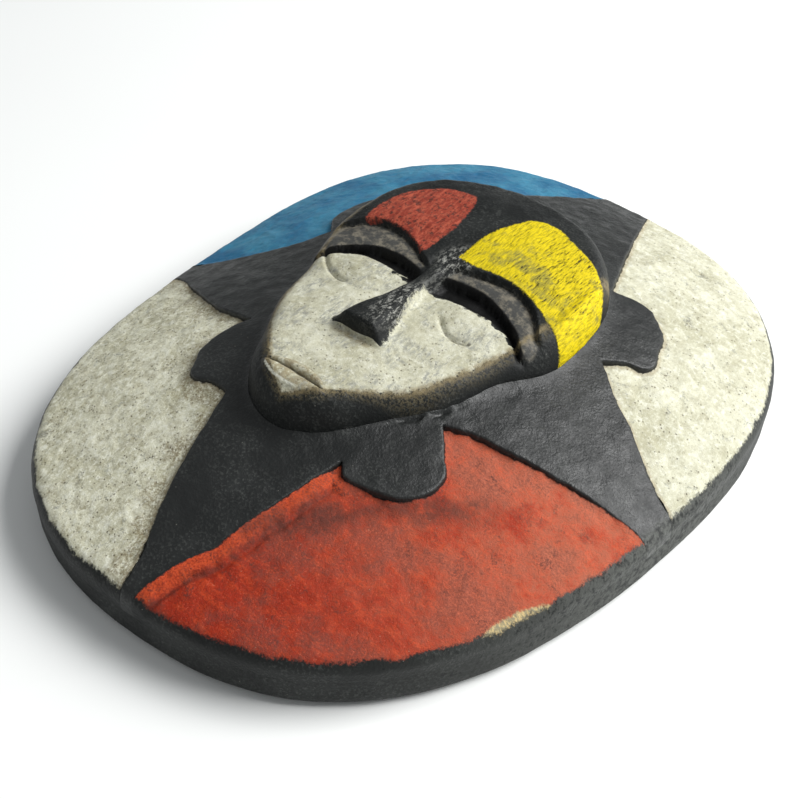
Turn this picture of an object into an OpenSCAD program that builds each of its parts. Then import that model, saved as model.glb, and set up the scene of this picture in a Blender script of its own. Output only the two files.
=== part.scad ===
// Domed oval wall plaque with a carved mask face, a four-pointed star and four coloured panels.
// It lies on its flat back: +Z is out of the wall, +Y runs from the chin to the crown, and the
// origin is on the back, under the middle of the face. Lengths are in millimetres.

/* [Plaque] */
// Length of the oval, chin to crown
plaque_l = 302; // [240:2:360]
// Width of the oval across the middle
plaque_w = 235; // [200:5:280]
// Squareness of the oval, where 2 is an ellipse
oval_power = 2.5; // [2:0.1:3]
// Share of the radius by which the hand-cut edge wanders
edge_wander = 0.026; // [0:0.001:0.03]
// Height of the rim, where the dome begins
rim_h = 21.5; // [18:0.5:30]
// Rise of the dome from the rim to the middle
dome_h = 30; // [20:1:36]
// Radius of the rounded rim
rim_round = 5; // [2:0.5:6]
// Thickness of the flat board that carries the carving
board_t = 14; // [13:0.5:15]

/* [Star and panels] */
// Depth of the panels below the star, next to the lobes
panel_depth = 3.5; // [1:0.5:5]
// Glue gap between neighbouring pieces
glue_gap = 0.15; // [0.05:0.05:0.3]

/* [Face] */
// Length of the face block, chin to crown
face_l = 158; // [140:2:166]
// Half width of the face block at its middle
face_half_w = 54; // [50:1:58]
// How much wider the crown of the face is than the chin
face_egg = 0.36; // [0.1:0.01:0.36]
// Height of the face along its middle line, before the features
face_top = 58; // [56:0.5:62]
// Fall of the face from its middle line to its sides
face_bow = 5; // [2:0.5:6]
// Height of the nose above the cheeks
nose_h = 6.5; // [4:0.5:9]
// Depth of the eye sockets
socket_d = 4; // [2:0.5:5]

/* [Hanger] */
// Radius of the ring's wire
wire_r = 1.2; // [1:0.1:1.4]
// Radius of the ring's bow, to the middle of the wire
bow_r = 10; // [9:0.5:12]
// Width of the steel strap
strap_w = 12; // [10:1:13]
// Thickness of the steel strap
strap_t = 1.2; // [0.8:0.1:1.4]

/* [Hidden] */
$fn = 48;

half_l = plaque_l / 2;
half_w = plaque_w / 2;
wander_phase = 54;

// Where the star's arms meet the rim, as angles from +X, in the order of the four panels
crown_right_rim = [-6, 84];
crown_left_rim = [92, 190];
chin_left_rim = [195.5, 268.5];
chin_right_rim = [271.5, 347.5];
// The inner corners of the panels, where a lobe of the star stands between two arms
crown_right_notch = [[65, 22], [45, 60]];
crown_left_notch = [[-45, 60], [-65, 20]];
chin_left_notch = [[-47, -45], [-26, -78]];
chin_right_notch = [[26, -78], [46, -45]];

// Facets: along a panel, out across a panel, round the face and across the face
panel_steps = 20;
lobe_steps = 10;
face_steps = 72;
face_rings = [1, 0.985, 0.96, 0.92, 0.87, 0.8, 0.73, 0.66, 0.59, 0.52, 0.45, 0.38, 0.31, 0.24, 0.17,
              0.1, 0.04];

face_mid_y = -3;
// The face stands on a flat seat in the star, held by two dowels
seat_z = 38;
dowel_r = 4;
dowel_l = 20;
dowel_y = [-38, 34];
fit_gap = 0.03;
dowel_z = seat_z - dowel_l / 2;

pocket_z = 8;
pocket_mid_y = 98;
pocket_half = [18, 24];
pocket_corner_r = 5;
wire_gap = 0.1;
barrel_wall = 1;
barrel_r = wire_r + wire_gap + barrel_wall;
barrel_w = strap_w - 2;
hinge_y = 103;
hinge_z = pocket_z - barrel_r;
floor_gap = 0.1;
strap_foot_y = 77;
ring_droop = asin((hinge_z - wire_r - floor_gap) / bow_r);
screw_y = [82, 94];
screw_r = 1.5;
screw_head_r = 3;
screw_head_h = 1.4;
screw_l = 6.5;
screw_gap = 0.2;

// ---- outline and surface formulas ----

function rim_radius(t) =
    pow(pow(abs(cos(t)) / half_w, oval_power) + pow(abs(sin(t)) / half_l, oval_power), -1 / oval_power)
    * (1 + edge_wander * cos(3 * t - wander_phase));
function on_rim(t, inset = 0) = (rim_radius(t) - inset) * [cos(t), sin(t)];

function rounding(d, r) = d >= r ? 0 : r - sqrt(r * r - (r - max(d, 0)) * (r - max(d, 0)));
function share_out(p) = norm(p) / rim_radius(atan2(p.y, p.x));

// Height of the star's surface at a point of the plan
function star_z(p) =
    let (s = share_out(p))
    rim_h + dome_h * (1 - s * s) - rounding(norm(p) * (1 / max(s, 0.01) - 1), rim_round);
// Height of the panels, which lie deepest next to the lobes and meet the star at the rim
function panel_z(p) =
    let (s = min(share_out(p), 1))
    star_z(p) - panel_depth * (1 - s * s) - 0.4 * (1 - pow(s, 8));

// The egg outline of the face, and how far out a point lies in it
function on_egg(t, share = 1) =
    [share * face_half_w * cos(t) * (1 + face_egg * sin(t)), face_mid_y + share * face_l / 2 * sin(t)];
function bump(p, c, r) = exp(-pow((p.x - c.x) / r.x, 2) - pow((p.y - c.y) / r.y, 2));
function ramp(x, a, b) = let (k = min(max((x - a) / (b - a), 0), 1)) k * k * (3 - 2 * k);

nose_top_y = 8;
nose_tip_y = -37;
function nose(p) =
    let (k = min(max((nose_top_y - p.y) / (nose_top_y - nose_tip_y), 0), 1), w = 4 + 7 * k)
    nose_h * (0.6 + 0.4 * k) * (1 - ramp(abs(p.x), w * 0.55, w))
    * ramp(p.y, nose_tip_y - 3, nose_tip_y + 1) * (1 - ramp(p.y, nose_top_y, nose_top_y + 12));
function brow(p) = 2 * bump([abs(p.x), p.y], [27, 14], [24, 8]);
function socket(p) = socket_d * bump([abs(p.x), p.y], [25, -3], [17, 7]);
function lid(p) = 1.5 * bump([abs(p.x), p.y], [25, -16], [13, 7]);
function lips(p) = 2.5 * bump(p, [0, -68], [13, 5]);
function forehead(p) = 6.5 * ramp(p.y, 0, 32) - 6 * ramp(p.y, 45, 76);
function features(p) = nose(p) + brow(p) - socket(p) + lid(p) + lips(p) + forehead(p);
// Height of the face, whose steep sides rise from the star at share 1
function face_z(p, share) =
    let (steep = sqrt(max(1 - pow(share, 8), 0)), side = p.x / face_half_w)
    star_z(p) * (1 - steep) + steep * (face_top - face_bow * side * side + features(p));

// ---- solids from rings and grids of points ----

// A solid from rings of points, lowest first, closed by a fan of triangles at each end
module ringed_solid(rings, low_mid, high_mid) {
    n = len(rings[0]);
    m = len(rings);
    points = concat([for (ring = rings) each ring], [low_mid, high_mid]);
    sides = [for (k = [0 : m - 2], i = [0 : n - 1])
        let (j = (i + 1) % n, a = k * n + i, b = k * n + j, c = a + n, d = b + n)
        each [[a, c, b], [b, c, d]]];
    low = [for (i = [0 : n - 1]) [i, (i + 1) % n, m * n]];
    high = [for (i = [0 : n - 1]) [(m - 1) * n + (i + 1) % n, (m - 1) * n + i, m * n + 1]];
    polyhedron(points, concat(sides, low, high));
}

// A solid whose top is a grid of rows, with upright sides and a flat bottom
module grid_solid(rows, bottom_z) {
    m = len(rows);
    n = len(rows[0]);
    top = [for (row = rows) each row];
    loop = concat([for (i = [0 : n - 1]) i], [for (k = [1 : m - 1]) k * n + n - 1],
                  [for (i = [n - 2 : -1 : 0]) (m - 1) * n + i], [for (k = [m - 2 : -1 : 1]) k * n]);
    count = len(loop);
    under = [for (i = loop) [top[i].x, top[i].y, bottom_z]];
    cover = [for (k = [0 : m - 2], i = [0 : n - 2])
        let (a = k * n + i)
        each [[a, a + 1, a + n], [a + 1, a + n + 1, a + n]]];
    walls = [for (q = [0 : count - 1])
        let (r = (q + 1) % count, a = loop[q], b = loop[r], c = m * n + q, d = m * n + r)
        each [[a, c, b], [b, c, d]]];
    polyhedron(concat(top, under), concat(cover, walls, [[for (q = [count - 1 : -1 : 0]) m * n + q]]));
}

// The half circle of a lobe, from one notch to the next, pushed out by a gap
function lobe_arc(notch, gap = 0) =
    let (mid = (notch[0] + notch[1]) / 2, arm = notch[0] - mid, k = 1 + gap / norm(arm))
    [for (i = [0 : lobe_steps])
        let (a = 180 * i / lobe_steps)
        mid + k * [arm.x * cos(a) - arm.y * sin(a), arm.x * sin(a) + arm.y * cos(a)]];

function rim_arc(rim, steps) = [for (i = [0 : steps]) on_rim(rim[0] + (rim[1] - rim[0]) * i / steps)];
function along(points, k) =
    let (q = k * (len(points) - 1), i = min(floor(q), len(points) - 2))
    points[i] + (q - i) * (points[i + 1] - points[i]);

// ---- pieces ----

module base_board() {
    steps = 120;
    levels = concat([for (a = [0 : 30 : 90]) [rim_round * (1 - sin(a)), rim_round * (1 - cos(a))]],
                    [[0, board_t - glue_gap]]);
    rings = [for (level = levels)
        [for (i = [0 : steps - 1])
            let (p = on_rim(360 * i / steps, level[0]))
            [p.x, p.y, level[1]]]];
    color("#7a5a3a") difference() {
        ringed_solid(rings, [0, 0, 0], [0, 0, board_t - glue_gap]);
        translate([0, pocket_mid_y, -1]) linear_extrude(pocket_z + 1) rounded_slot();
        for (y = screw_y) translate([0, y, 0])
            cylinder(r = screw_r, h = pocket_z - strap_t + screw_l + screw_gap);
    }
}

module rounded_slot() {
    square(2 * [pocket_half.x - pocket_corner_r, pocket_half.y], center = true);
    square(2 * [pocket_half.x, pocket_half.y - pocket_corner_r], center = true);
    for (x = [-1, 1], y = [-1, 1])
        translate([x * (pocket_half.x - pocket_corner_r), y * (pocket_half.y - pocket_corner_r)])
            circle(pocket_corner_r);
}

module star_relief() {
    edge = concat(lobe_arc(crown_right_notch), arm_tip(crown_right_rim[1], crown_left_rim[0]),
                  lobe_arc(crown_left_notch), arm_tip(crown_left_rim[1], chin_left_rim[0]),
                  lobe_arc(chin_left_notch), arm_tip(chin_left_rim[1], chin_right_rim[0]),
                  lobe_arc(chin_right_notch), arm_tip(chin_right_rim[1], 360 + crown_right_rim[0]));
    color("#3c3d3e") difference() {
        intersection() {
            domed_slab();
            translate([0, 0, board_t]) linear_extrude(rim_h + dome_h) polygon(edge);
        }
        translate([0, 0, seat_z]) linear_extrude(dome_h) polygon(egg_outline(glue_gap));
        for (y = dowel_y) translate([0, y, dowel_z]) cylinder(r = dowel_r, h = dowel_l);
    }
}

// The whole oval above the board, with the star's domed surface on top
module domed_slab() {
    steps = 96;
    shares = [1, 0.985, 0.96, 0.9, 0.8, 0.7, 0.6, 0.5, 0.35, 0.15];
    turns = [for (i = [0 : steps - 1]) 360 * i / steps];
    rings = concat([[for (t = turns) let (p = on_rim(t)) [p.x, p.y, board_t - 1]]],
                   [for (s = shares) [for (t = turns) let (p = s * on_rim(t)) [p.x, p.y, star_z(p)]]]);
    ringed_solid(rings, [0, 0, board_t - 1], [0, 0, star_z([0, 0])]);
}

// The end of an arm, drawn past the rim in its middle so that the slab gives it its edge
function arm_tip(from, to) = [on_rim(from), on_rim((from + to) / 2, -1), on_rim(to)];
function egg_outline(gap = 0) =
    [for (i = [0 : face_steps - 1])
        let (p = on_egg(360 * i / face_steps), q = p - [0, face_mid_y])
        p + gap * q / norm(q)];

// A panel's corner at a notch, a glue gap away from the lobe and from the arm beside it
function panel_corner(corner, lobe_side, rim_end) =
    let (arm_side = (rim_end - corner) / norm(rim_end - corner))
    corner + glue_gap * (arm_side + lobe_side) / abs(cross(arm_side, lobe_side));

// One coloured panel, from the lobe out to the rim between two arms
module panel(notch, rim) {
    chord = notch[0] - notch[1];
    lobe_side = [-chord.y, chord.x] / norm(chord);
    arc = lobe_arc(notch, glue_gap);
    inner = [panel_corner(notch[0], lobe_side, on_rim(rim[0])),
             for (i = [1 : lobe_steps - 1]) arc[i],
             panel_corner(notch[1], lobe_side, on_rim(rim[1]))];
    turn = glue_gap / half_w * 180 / PI;
    outer = rim_arc([rim[0] + turn, rim[1] - turn], panel_steps);
    shares = [0, 0.12, 0.25, 0.4, 0.55, 0.7, 0.84, 0.93, 0.975, 0.993, 1];
    rows = [for (s = shares) [for (i = [0 : panel_steps])
        let (p = (1 - s) * along(inner, i / panel_steps) + s * outer[i])
        [p.x, p.y, panel_z(p)]]];
    grid_solid(rows, board_t);
}

module crown_left_panel() { color("#2f78ad") panel(crown_left_notch, crown_left_rim); }
module crown_right_panel() { color("#cfcdc2") panel(crown_right_notch, crown_right_rim); }
module chin_left_panel() { color("#b9b6a8") panel(chin_left_notch, chin_left_rim); }
module chin_right_panel() { color("#b8402c") panel(chin_right_notch, chin_right_rim); }

module face_carving() {
    foot = [for (p = egg_outline()) [p.x, p.y, seat_z + glue_gap]];
    rings = [for (s = face_rings) [for (i = [0 : face_steps - 1])
        let (p = on_egg(360 * i / face_steps, s))
        [p.x, p.y, face_z(p, s)]]];
    color("#d8d2bc") difference() {
        ringed_solid(concat([foot], rings), [0, face_mid_y, seat_z + glue_gap],
                     [0, face_mid_y, face_z([0, face_mid_y], 0)]);
        for (y = dowel_y) translate([0, y, seat_z]) cylinder(r = dowel_r, h = dowel_l / 2);
    }
}

module face_dowels() {
    color("#d9bd8b") for (y = dowel_y)
        translate([0, y, dowel_z + fit_gap]) cylinder(r = dowel_r - fit_gap, h = dowel_l - 2 * fit_gap);
}

// Steel strap against the roof of the pocket, rolled into a barrel round the ring's straight bar
module hanger_strap() {
    color("#a9a59c") difference() {
        union() {
            translate([-strap_w / 2, strap_foot_y, pocket_z - strap_t])
                cube([strap_w, hinge_y - strap_foot_y, strap_t]);
            hinge_rod(barrel_r, barrel_w);
        }
        hinge_rod(wire_r + wire_gap, 2 * strap_w);
        for (y = screw_y) translate([0, y, 0]) cylinder(r = screw_r + screw_gap, h = board_t);
    }
}

module hinge_rod(r, l) {
    translate([-l / 2, hinge_y, hinge_z]) rotate([0, 90, 0]) cylinder(r = r, h = l);
}

// D-shaped wire ring, which droops until it nearly rests on what the plaque lies on
module hanger_ring() {
    bar_l = 2 * (bow_r + wire_r) + 0.6;
    color("#b5b1a6") translate([0, hinge_y, hinge_z]) rotate([-ring_droop, 0, 0]) {
        translate([-bar_l / 2, 0, 0]) rotate([0, 90, 0]) cylinder(r = wire_r, h = bar_l);
        rotate_extrude(angle = 180) translate([bow_r, 0]) circle(wire_r - 0.1);
    }
}

module hanger_screws() {
    head_z = pocket_z - strap_t - screw_head_h;
    color("#8f8c84") for (y = screw_y) {
        translate([0, y, head_z]) cylinder(r = screw_head_r, h = screw_head_h - fit_gap);
        translate([0, y, head_z]) cylinder(r = screw_r - fit_gap, h = screw_head_h + screw_l);
    }
}

base_board();
star_relief();
crown_left_panel();
crown_right_panel();
chin_left_panel();
chin_right_panel();
face_carving();
face_dowels();
hanger_strap();
hanger_ring();
hanger_screws();
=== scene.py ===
"""Looks of the carved and painted wall plaque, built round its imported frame.

Outlines and heights are in millimetres, and are turned into metres where a mesh is made. The plaque lies on
its back: +Y runs from the chin to the crown, +X to the viewer's right and +Z out of the wall.
"""

import math

import bmesh
import bpy
import numpy as np
from mathutils import Matrix, Vector
from mathutils.geometry import delaunay_2d_cdt


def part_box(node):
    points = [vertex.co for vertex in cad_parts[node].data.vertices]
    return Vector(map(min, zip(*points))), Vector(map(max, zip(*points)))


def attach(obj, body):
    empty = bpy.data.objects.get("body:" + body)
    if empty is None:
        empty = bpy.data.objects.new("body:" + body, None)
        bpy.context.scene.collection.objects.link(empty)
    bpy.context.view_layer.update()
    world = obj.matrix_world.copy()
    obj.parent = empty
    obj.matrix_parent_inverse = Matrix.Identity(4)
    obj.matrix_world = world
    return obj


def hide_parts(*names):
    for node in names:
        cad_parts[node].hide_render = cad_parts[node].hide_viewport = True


MM = 0.001

# The block: its rim and the dome above it, how round its edges are and how deep the panels are cut
RIM_H = 21.5
DOME_H = 30.0
RIM_ROUND = 4.2
FOOT_ROUND = 5.0
EDGE_ROUND = 0.7
PANEL_DEPTH = 3.4
FACE_TOP = 58.0

# Clearance between neighbouring pieces, and under the face in its seat
JOINT_GAP = 0.1
SEAT_GAP = 0.15

# The hanger's pocket in the back
POCKET_HALF, POCKET_CORNER, POCKET_MID_Y = (18, 24), 5, 98

# How far the rim's black comes in over a panel, and how deep the brush marks are
PAINT_INSET = 2.0
PAINT_BUMP = 0.32

# Mesh: distances in from an edge at which points are packed closer
EDGE_LOOPS = (0.15, 0.45, 0.9, 1.5, 2.2, 3.1, 4.2)
RELIEF_STEP = 0.85
FACE_STEP = 0.75
BACK_STEP = 2.4
OUTLINE_STEP = 0.8
WALL_STEP = 1.4

# Points measured against an outline at a time
BATCH = 1500

# Ends of the star's four arms on the rim, as angles from +X
RIGHT_ARM = (-12.5, -6)
CROWN_ARM = (84, 92)
LEFT_ARM = (190, 195.5)
CHIN_ARM = (269.5, 271.5)

# Each panel's stretch of rim between two arms, in order round the block from the right arm
PANELS = {
    "crown_right_panel": (RIGHT_ARM[1], CROWN_ARM[0]),
    "crown_left_panel": (CROWN_ARM[1], LEFT_ARM[0]),
    "chin_left_panel": (LEFT_ARM[1], CHIN_ARM[0]),
    "chin_right_panel": (CHIN_ARM[1], 360 + RIGHT_ARM[0]),
}


# ---- noise and small formulas


def ramp(x, low, high):
    """A smooth step from 0 at the low value to 1 at the high one."""
    k = np.clip((x - low) / (high - low), 0, 1)
    return k * k * (3 - 2 * k)


def rounding(distance, radius):
    """How far a surface has dropped at that distance in from a rounded edge."""
    d = np.clip(distance, 0, radius)
    return radius - np.sqrt(radius**2 - (radius - d) ** 2)


def bell(x, width):
    return np.exp(-((x / width) ** 2))


def bump(x, y, centre, reach):
    return np.exp(-(((x - centre[0]) / reach[0]) ** 2) - ((y - centre[1]) / reach[1]) ** 2)


def swelling(degrees, centre, width):
    """A bell over an angle."""
    turn = (np.atleast_1d(degrees) - centre + 180) % 360 - 180
    return bell(turn, width)


def noise(points, size, seed):
    """Smooth lumps from -1 to 1, of that size, at points of two or three coordinates."""
    cells = 48
    table = np.random.default_rng(seed).uniform(-1, 1, (cells, cells, cells))
    q = np.zeros((len(points), 3))
    q[:, : points.shape[1]] = points / size
    corner = np.floor(q).astype(int)
    f = q - corner
    f = f * f * (3 - 2 * f)
    total = np.zeros(len(points))
    for step in np.ndindex(2, 2, 2):
        weight = np.prod(np.where(np.array(step) == 1, f, 1 - f), axis=1)
        i, j, k = ((corner + step) % cells).T
        total += weight * table[i, j, k]
    return total


def rough(points, size, seed, octaves=3):
    """Noise with finer noise on top, each octave half the size and half the height."""
    return sum(noise(points, size / 2**o, seed + o) / 2**o for o in range(octaves))


# ---- outlines


def line_through(points, step=OUTLINE_STEP):
    """A smooth line through the points, without its last point."""
    p = np.array(points, float)
    p = np.vstack([2 * p[0] - p[1], p, 2 * p[-1] - p[-2]])
    out = []
    for a, b, c, d in zip(p, p[1:], p[2:], p[3:]):
        count = max(2, round(np.linalg.norm(c - b) / step))
        t = np.arange(count)[:, None] / count
        out.append(
            0.5 * (2 * b + (c - a) * t + (2 * a - 5 * b + 4 * c - d) * t**2 + (3 * b - a - 3 * c + d) * t**3)
        )
    return np.vstack(out)


def offset(line, distance):
    """The open line moved to its right by that distance."""
    along = np.gradient(line, axis=0)
    along /= np.linalg.norm(along, axis=1, keepdims=True)
    return line + distance * np.stack([along[:, 1], -along[:, 0]], axis=1)


def offset_loop(loop, distance):
    """The closed line moved to its right by that distance."""
    along = np.roll(loop, -1, axis=0) - np.roll(loop, 1, axis=0)
    along /= np.linalg.norm(along, axis=1, keepdims=True)
    return loop + distance * np.stack([along[:, 1], -along[:, 0]], axis=1)


def closed(points):
    """A smooth closed loop through the points."""
    line = line_through([points[-1], *points, points[0], points[1]])
    first = np.argmin(np.linalg.norm(line - points[0], axis=1))
    last = len(line) - 1 - np.argmin(np.linalg.norm(line[::-1] - points[0], axis=1))
    return line[first:last]


def distance_to(points, line, closed=True):
    """Distance from each point to a line, both in the plan."""
    a = line if closed else line[:-1]
    b = np.roll(line, -1, axis=0) if closed else line[1:]
    ab = b - a
    length = (ab**2).sum(1) + 1e-12
    out = np.empty(len(points))
    for i in range(0, len(points), BATCH):
        p = points[i : i + BATCH, None, :] - a
        t = np.clip((p * ab).sum(2) / length, 0, 1)
        out[i : i + BATCH] = np.sqrt(((p - t[..., None] * ab) ** 2).sum(2).min(1))
    return out


def inside(points, loop):
    """Whether each point lies in the closed loop."""
    a, b = loop, np.roll(loop, -1, axis=0)
    rise = np.where(b[:, 1] == a[:, 1], 1e-12, b[:, 1] - a[:, 1])
    out = np.empty(len(points), bool)
    for i in range(0, len(points), BATCH):
        x, y = points[i : i + BATCH, None, 0], points[i : i + BATCH, None, 1]
        crosses = (a[:, 1] > y) != (b[:, 1] > y)
        at = a[:, 0] + (y - a[:, 1]) / rise * (b[:, 0] - a[:, 0])
        out[i : i + BATCH] = (crosses & (x < at)).sum(1) % 2 == 1
    return out


def depth_in(points, loop):
    """Distance from the loop's edge, positive inside it."""
    return np.where(inside(points, loop), 1, -1) * distance_to(points, loop)


# ---- the frame's own outlines


def radii_of(node, centre, low, high):
    """Angles and radii of a node's outline about a centre, from its vertices between two heights."""
    co = np.array([v.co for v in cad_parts[node].data.vertices]) / MM
    co = co[(co[:, 2] > low) & (co[:, 2] < high)]
    p = co[:, :2] - centre
    angle = np.degrees(np.arctan2(p[:, 1], p[:, 0])) % 360
    radius = np.linalg.norm(p, axis=1)
    keys = np.round(angle).astype(int) % 360
    # Vertices of seats and holes lie further in than the outline
    outer = radius > 0.7 * radius.max()
    return np.array(sorted({k: radius[keys == k].max() for k in set(keys[outer])}.items()), float).T


def smooth_radius(samples, waves):
    """A closed outline's radius at any angle in degrees, from the waves that its samples hold."""
    angle, radius = samples
    t = np.radians(angle)
    n = np.arange(1, waves + 1)
    table = np.hstack([np.ones((len(t), 1)), np.cos(np.outer(t, n)), np.sin(np.outer(t, n))])
    share = np.linalg.lstsq(table, radius, rcond=None)[0]

    def at(degrees):
        a = np.outer(np.radians(np.atleast_1d(degrees)), n)
        return share[0] + np.cos(a) @ share[1 : waves + 1] + np.sin(a) @ share[waves + 1 :]

    return at


def ring_points(radius, start, end, centre=(0, 0)):
    """Points along an outline from one angle to another, without the last."""
    length = radius(np.array([(start + end) / 2]))[0] * math.radians(end - start)
    count = max(2, round(length / OUTLINE_STEP))
    t = start + (end - start) * np.arange(count) / count
    r = radius(t)
    return np.stack([r * np.cos(np.radians(t)), r * np.sin(np.radians(t))], axis=1) + centre


def on_rim(degrees):
    """The rim's point at an angle."""
    r, t = rim_radius(degrees)[0], math.radians(degrees)
    return (r * math.cos(t), r * math.sin(t))


def rim_radius(degrees):
    """The block's outline, sawn a little fuller beyond the right temple than the frame's."""
    return cad_radius(degrees) + 2.2 * swelling(degrees, 35, 30)


def face_radius(degrees):
    """The face block's outline, fuller at the left of its chin and at its right cheek than the even egg."""
    return egg_radius(degrees) + 4.0 * swelling(degrees, 252, 14) + 2.6 * swelling(degrees, -2, 17)


# ---- surfaces


def share_out(p):
    """0 over the block's middle to 1 on its rim."""
    return np.linalg.norm(p, axis=1) / rim_radius(np.degrees(np.arctan2(p[:, 1], p[:, 0])))


def dome(p):
    """The uncarved front's height."""
    return RIM_H + DOME_H * (1 - share_out(p) ** 2)


def rim_drop(p):
    return rounding(distance_to(p, rim_line), RIM_ROUND)


def star_height(p, edge):
    """The star's front, which rises against the face and is cracked under its jaw."""
    tool_marks = 0.35 * noise(p * (1, 0.5), 9, 11) + 0.25 * rough(p, 4, 12)
    gap = distance_to(p, face_line)
    near_face = 1.6 * np.exp(-gap / 2.5)
    crack = bump(p[:, 0], p[:, 1], (35, -45), (11, 10)) * ramp(noise(p, 3.5, 15), -0.5, 0.1)
    near_face -= 2.4 * crack * bell(gap - 1.0, 0.8)
    off_rim = ramp(share_out(p), 0.985, 0.94)
    return dome(p) - rim_drop(p) - off_rim * rounding(edge, EDGE_ROUND) + 0.5 * tool_marks + near_face


def panel_height(p, edge, seed):
    """A panel's front, sunk below the star and uneven where it was cut away along it."""
    s = np.minimum(share_out(p), 1)
    sunk = PANEL_DEPTH * (1 - s * s) + 0.5 * (1 - s**10)
    near_star = np.exp(-edge / 3)
    uneven = 0.5 * noise(p, 30, seed) + 0.25 * rough(p, 6, seed + 1) + 0.12 * rough(p, 2, seed + 7)
    uneven += (
        near_star * (0.4 * rough(p, 3.2, seed + 3) + 0.7 * noise(p, 9, seed + 4)) + 0.6 * np.exp(-edge / 1.2)
    )
    return dome(p) - rim_drop(p) - sunk + uneven * ramp(s, 1.0, 0.95)


# Lines on the face, left side first: heights up it at distances out from its middle line
BROW = (
    [(2, 4), (9, 8), (16, 12.5), (25, 16.5), (35, 18), (44, 15.5), (52, 7)],
    [(2, 6), (8, 11.5), (17, 14.5), (27, 15.5), (35, 14), (43, 8.5), (51, -1)],
)
LID = (
    [(2, 0), (10, 3.2), (18, 5), (28, 5), (36, 1.5), (42, -4), (48, -11)],
    [(2, 2), (8, 5), (15, 6.3), (24, 6), (33, 3), (42, -2), (48, -8)],
)
SLIT_FOOT = (
    [(2, -4), (10, -1), (20, 0), (29, 0.8), (36, -1), (42, -5.5), (48, -12)],
    [(2, -4), (8, -2), (15, -1.6), (23, -0.8), (31, -0.5), (40, -3), (48, -9)],
)

# The fold under each eye at distances out, then the nose's side and the cream's edge at heights up
CREASE = [(12, -9), (16, -13), (22, -17.3), (27, -18.4), (32, -17), (37, -14), (42, -9.5), (46, -5)]
NOSE = [(-42, 12.6), (-37, 12.4), (-31, 11), (-24, 8.6), (-16, 6), (-8, 4.6), (0, 3.8), (10, 3.2)]
CREAM_EDGE = [
    (-80, -2), (-77, 3), (-73, 8.5), (-69, 12), (-61, 20.5), (-54, 27), (-45, 33), (-26, 39.5), (-2, 46),
    (9, 50),
]
NOSE_TOP, NOSE_TIP = 8.0, -38.5
LIPS_MID, LIPS_HALF = -2.0, 15.0


def along(points, at):
    """The smooth line through the points, read at the given first coordinates."""
    x, y = line_through(points, 0.3).T
    return np.interp(at, x, y)


def face_line_at(pair, x):
    """A line's height on the face, blended from its left side to its right across the nose."""
    right = ramp(x, -5, 5)
    out = np.clip(np.abs(x), 3, 50)
    return (1 - right) * along(pair[0], out) + right * along(pair[1], out)


def face_plan(p):
    """The face's own coordinates, a little uneven as hand carving is: across, distance out, and height up."""
    x = p[:, 0] + 0.5 * noise(p, 38, 31)
    y = p[:, 1] + 0.5 * noise(p, 34, 32)
    return x, np.abs(x), y


def under_eye_fold(x, out, y, width):
    """The cut fold under each eye, which dies away at the right of both."""
    inner, outer = np.where(x < 0, 20, 12), np.where(x < 0, 42, 28)
    length = ramp(out - inner, 0, 7) * (1 - ramp(out - outer, 0, 6))
    return length * bell(y - along(CREASE, np.clip(out, 12, 46)), width)


def lip_lines(x):
    """Heights of the upper lip's top, the parting and the lower lip's foot, which meet at the corners."""
    leaf = np.clip(1 - ((x - LIPS_MID) / LIPS_HALF) ** 2, 0, 1)
    return -70.4 + 5.4 * leaf**0.8, -70.4 + 1.0 * leaf, -70.4 - 7.0 * leaf**0.75


def swell(y, low, high):
    """A rounded swelling between two heights, 0 outside them."""
    half = np.maximum(0.5 * (high - low), 0.3)
    return np.clip(1 - ((y - 0.5 * (low + high)) / half) ** 2, 0, 1) ** 0.7 * np.clip(half / 2, 0, 1)


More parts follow.
